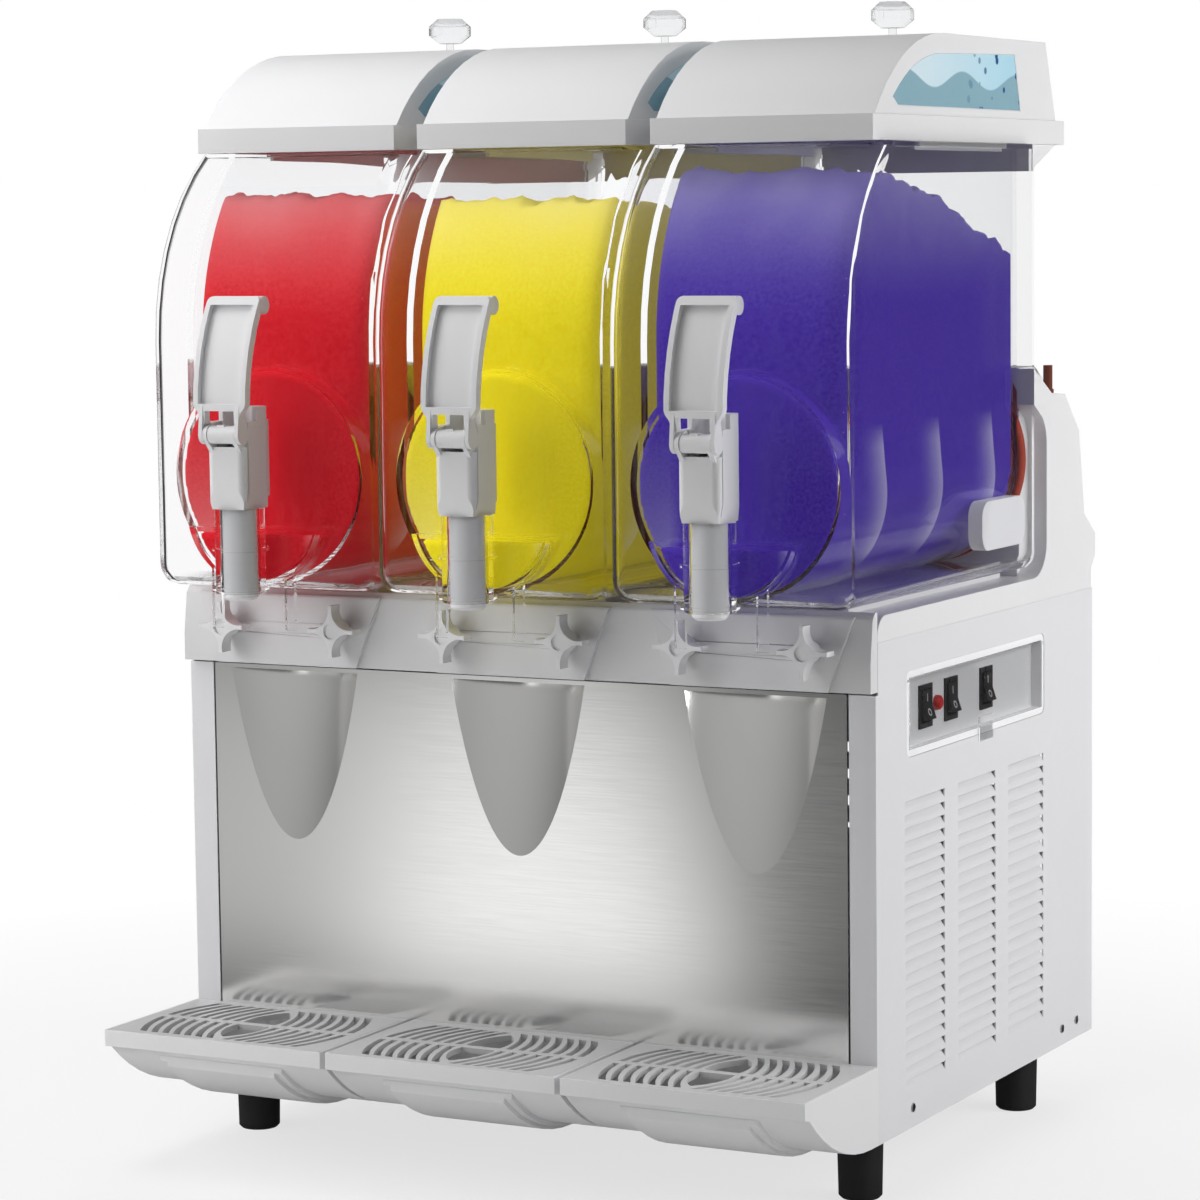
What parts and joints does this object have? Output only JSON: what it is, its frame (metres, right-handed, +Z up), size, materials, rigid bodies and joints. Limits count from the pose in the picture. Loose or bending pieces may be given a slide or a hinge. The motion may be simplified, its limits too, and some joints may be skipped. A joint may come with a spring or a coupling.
{
  "type": "granita dispenser",
  "caption": "Countertop frozen-drink dispenser with clear double-walled bowls, pull taps, domed lids and drip trays over a louvred white cabinet.",
  "frame": {"origin": "centre of the bounding box on the counter, under the feet", "axes": "+X across the bowls to the side with the control panel, +Y to the back, +Z up"},
  "size_m": [0.56, 0.55, 0.8423],
  "materials": {
    "black_metal": "semi-gloss black",
    "black_plastic": "black",
    "black_rubber": "matt",
    "clear": "clear polycarbonate",
    "fins": "bare",
    "galvanised": "dull zinc",
    "grey_plastic": "pale grey moulding",
    "motor_grey": "grey",
    "plug": "brown",
    "red_lens": "translucent red",
    "seal": "red-brown",
    "steel": "brushed",
    "white_panel": "satin white",
    "white_plastic": "satin white moulding"
  },
  "bodies": {
    "cabinet": {"base_pan": "galvanised", "side_panel_left": "white_panel", "side_panel_right": "white_panel", "splash_panel": "steel", "front_rail": "grey_plastic", "top_housing": "white_plastic", "back_panel": "white_panel", "control_plate": "grey_plastic", "switch_frames": "black_plastic", "panel_lamp": "red_lens", "feet": "black_rubber", "housing_plug": "plug", "compressor": "black_metal", "condenser": "fins", "fan_motor": "motor_grey", "gearmotors": "motor_grey", "evaporator_drums": "steel", "bowl_gaskets": "seal"},
    "bowl_1": {"bowl_1": "clear", "bowl_catch_1": "white_plastic", "tap_body_1": "white_plastic"},
    "lid_1": {"lid_1": "white_plastic"},
    "lid_knob_1": {"lid_knob_1": "clear"},
    "tap_lever_1": {"tap_lever_1": "white_plastic"},
    "tap_piston_1": {"tap_piston_1": "white_plastic"},
    "auger_1": {"auger_1": "white_plastic"},
    "drip_tray_1": {"drip_tray_1": "white_plastic"},
    "drip_grid_1": {"drip_grid_1": "grey_plastic"},
    "bowl_2": {"bowl_2": "clear", "bowl_catch_2": "white_plastic", "tap_body_2": "white_plastic"},
    "lid_2": {"lid_2": "white_plastic"},
    "lid_knob_2": {"lid_knob_2": "clear"},
    "tap_lever_2": {"tap_lever_2": "white_plastic"},
    "tap_piston_2": {"tap_piston_2": "white_plastic"},
    "auger_2": {"auger_2": "white_plastic"},
    "drip_tray_2": {"drip_tray_2": "white_plastic"},
    "drip_grid_2": {"drip_grid_2": "grey_plastic"},
    "bowl_3": {"bowl_3": "clear", "bowl_catch_3": "white_plastic", "tap_body_3": "white_plastic"},
    "lid_3": {"lid_3": "white_plastic"},
    "lid_knob_3": {"lid_knob_3": "clear"},
    "tap_lever_3": {"tap_lever_3": "white_plastic"},
    "tap_piston_3": {"tap_piston_3": "white_plastic"},
    "auger_3": {"auger_3": "white_plastic"},
    "drip_tray_3": {"drip_tray_3": "white_plastic"},
    "drip_grid_3": {"drip_grid_3": "grey_plastic"},
    "star_knob_1": {"star_knob_1": "white_plastic"},
    "star_knob_2": {"star_knob_2": "white_plastic"},
    "star_knob_3": {"star_knob_3": "white_plastic"},
    "star_knob_4": {"star_knob_4": "white_plastic"},
    "star_knob_5": {"star_knob_5": "white_plastic"},
    "star_knob_6": {"star_knob_6": "white_plastic"},
    "rocker_1": {"rocker_1": "black_plastic"},
    "rocker_2": {"rocker_2": "black_plastic"},
    "rocker_3": {"rocker_3": "black_plastic"},
    "control_cover": {"control_cover": "clear"},
    "fan_blades": {"fan_blades": "fins"}
  },
  "joints": [
    {"name": "bowl_pull_1", "type": "slide", "parent": "cabinet", "child": "bowl_1", "axis": [0, -1, 0], "range_m": [0, 0.12]},
    {"name": "lid_lift_1", "type": "slide", "parent": "bowl_1", "child": "lid_1", "axis": [0, 0, 1], "range_m": [0, 0.08]},
    {"name": "lid_knob_turn_1", "type": "hinge", "parent": "lid_1", "child": "lid_knob_1", "pos_m": [-0.188, 0.093, 0.831], "axis": [0, 0, 1], "continuous": true},
    {"name": "tap_lever_pull_1", "type": "hinge", "parent": "bowl_1", "child": "tap_lever_1", "pos_m": [-0.188, -0.24106, 0.536], "axis": [1, 0, 0], "range_deg": [0, 50], "stiffness_Nm_per_rad": 0.9, "springref_deg": -20.05},
    {"name": "tap_piston_lift_1", "type": "slide", "parent": "bowl_1", "child": "tap_piston_1", "axis": [0, 0, 1], "range_m": [0, 0.0175]},
    {"name": "auger_spin_1", "type": "hinge", "parent": "cabinet", "child": "auger_1", "pos_m": [-0.188, 0, 0.503], "axis": [0, 1, 0], "continuous": true},
    {"name": "drip_tray_pull_1", "type": "slide", "parent": "cabinet", "child": "drip_tray_1", "axis": [0, -1, 0], "range_m": [0, 0.1]},
    {"name": "drip_grid_lift_1", "type": "slide", "parent": "drip_tray_1", "child": "drip_grid_1", "axis": [0, 0, 1], "range_m": [0, 0.06]},
    {"name": "bowl_pull_2", "type": "slide", "parent": "cabinet", "child": "bowl_2", "axis": [0, -1, 0], "range_m": [0, 0.12]},
    {"name": "lid_lift_2", "type": "slide", "parent": "bowl_2", "child": "lid_2", "axis": [0, 0, 1], "range_m": [0, 0.08]},
    {"name": "lid_knob_turn_2", "type": "hinge", "parent": "lid_2", "child": "lid_knob_2", "pos_m": [0, 0.093, 0.831], "axis": [0, 0, 1], "continuous": true},
    {"name": "tap_lever_pull_2", "type": "hinge", "parent": "bowl_2", "child": "tap_lever_2", "pos_m": [0, -0.24106, 0.536], "axis": [1, 0, 0], "range_deg": [0, 50], "stiffness_Nm_per_rad": 0.9, "springref_deg": -20.05},
    {"name": "tap_piston_lift_2", "type": "slide", "parent": "bowl_2", "child": "tap_piston_2", "axis": [0, 0, 1], "range_m": [0, 0.0175]},
    {"name": "auger_spin_2", "type": "hinge", "parent": "cabinet", "child": "auger_2", "pos_m": [0, 0, 0.503], "axis": [0, 1, 0], "continuous": true},
    {"name": "drip_tray_pull_2", "type": "slide", "parent": "cabinet", "child": "drip_tray_2", "axis": [0, -1, 0], "range_m": [0, 0.1]},
    {"name": "drip_grid_lift_2", "type": "slide", "parent": "drip_tray_2", "child": "drip_grid_2", "axis": [0, 0, 1], "range_m": [0, 0.06]},
    {"name": "bowl_pull_3", "type": "slide", "parent": "cabinet", "child": "bowl_3", "axis": [0, -1, 0], "range_m": [0, 0.12]},
    {"name": "lid_lift_3", "type": "slide", "parent": "bowl_3", "child": "lid_3", "axis": [0, 0, 1], "range_m": [0, 0.08]},
    {"name": "lid_knob_turn_3", "type": "hinge", "parent": "lid_3", "child": "lid_knob_3", "pos_m": [0.188, 0.093, 0.831], "axis": [0, 0, 1], "continuous": true},
    {"name": "tap_lever_pull_3", "type": "hinge", "parent": "bowl_3", "child": "tap_lever_3", "pos_m": [0.188, -0.24106, 0.536], "axis": [1, 0, 0], "range_deg": [0, 50], "stiffness_Nm_per_rad": 0.9, "springref_deg": -20.05},
    {"name": "tap_piston_lift_3", "type": "slide", "parent": "bowl_3", "child": "tap_piston_3", "axis": [0, 0, 1], "range_m": [0, 0.0175]},
    {"name": "auger_spin_3", "type": "hinge", "parent": "cabinet", "child": "auger_3", "pos_m": [0.188, 0, 0.503], "axis": [0, 1, 0], "continuous": true},
    {"name": "drip_tray_pull_3", "type": "slide", "parent": "cabinet", "child": "drip_tray_3", "axis": [0, -1, 0], "range_m": [0, 0.1]},
    {"name": "drip_grid_lift_3", "type": "slide", "parent": "drip_tray_3", "child": "drip_grid_3", "axis": [0, 0, 1], "range_m": [0, 0.06]},
    {"name": "star_knob_turn_1", "type": "hinge", "parent": "cabinet", "child": "star_knob_1", "pos_m": [-0.2355, -0.165, 0.39], "axis": [0, 1, 0], "continuous": true},
    {"name": "star_knob_turn_2", "type": "hinge", "parent": "cabinet", "child": "star_knob_2", "pos_m": [-0.1405, -0.165, 0.39], "axis": [0, 1, 0], "continuous": true},
    {"name": "star_knob_turn_3", "type": "hinge", "parent": "cabinet", "child": "star_knob_3", "pos_m": [-0.0475, -0.165, 0.39], "axis": [0, 1, 0], "continuous": true},
    {"name": "star_knob_turn_4", "type": "hinge", "parent": "cabinet", "child": "star_knob_4", "pos_m": [0.0475, -0.165, 0.39], "axis": [0, 1, 0], "continuous": true},
    {"name": "star_knob_turn_5", "type": "hinge", "parent": "cabinet", "child": "star_knob_5", "pos_m": [0.1405, -0.165, 0.39], "axis": [0, 1, 0], "continuous": true},
    {"name": "star_knob_turn_6", "type": "hinge", "parent": "cabinet", "child": "star_knob_6", "pos_m": [0.2355, -0.165, 0.39], "axis": [0, 1, 0], "continuous": true},
    {"name": "rocker_tip_1", "type": "hinge", "parent": "cabinet", "child": "rocker_1", "pos_m": [0.268, -0.04805, 0.3405], "axis": [0, 1, 0], "range_deg": [0, 20]},
    {"name": "rocker_tip_2", "type": "hinge", "parent": "cabinet", "child": "rocker_2", "pos_m": [0.268, -0.00106, 0.3405], "axis": [0, 1, 0], "range_deg": [0, 20]},
    {"name": "rocker_tip_3", "type": "hinge", "parent": "cabinet", "child": "rocker_3", "pos_m": [0.268, 0.066, 0.3405], "axis": [0, 1, 0], "range_deg": [0, 20]},
    {"name": "control_cover_swing", "type": "hinge", "parent": "cabinet", "child": "control_cover", "pos_m": [0.2782, 0.033, 0.3638], "axis": [0, -1, 0], "range_deg": [0, 100]},
    {"name": "fan_spin", "type": "hinge", "parent": "cabinet", "child": "fan_blades", "pos_m": [0.185, 0.04698, 0.167], "axis": [1, 0, 0], "continuous": true}
  ],
  "couplings": [
    {"joint": "tap_piston_lift_1", "follows": "tap_lever_pull_1", "m_per_rad": 0.019371},
    {"joint": "tap_piston_lift_2", "follows": "tap_lever_pull_2", "m_per_rad": 0.019371},
    {"joint": "tap_piston_lift_3", "follows": "tap_lever_pull_3", "m_per_rad": 0.019371}
  ]
}
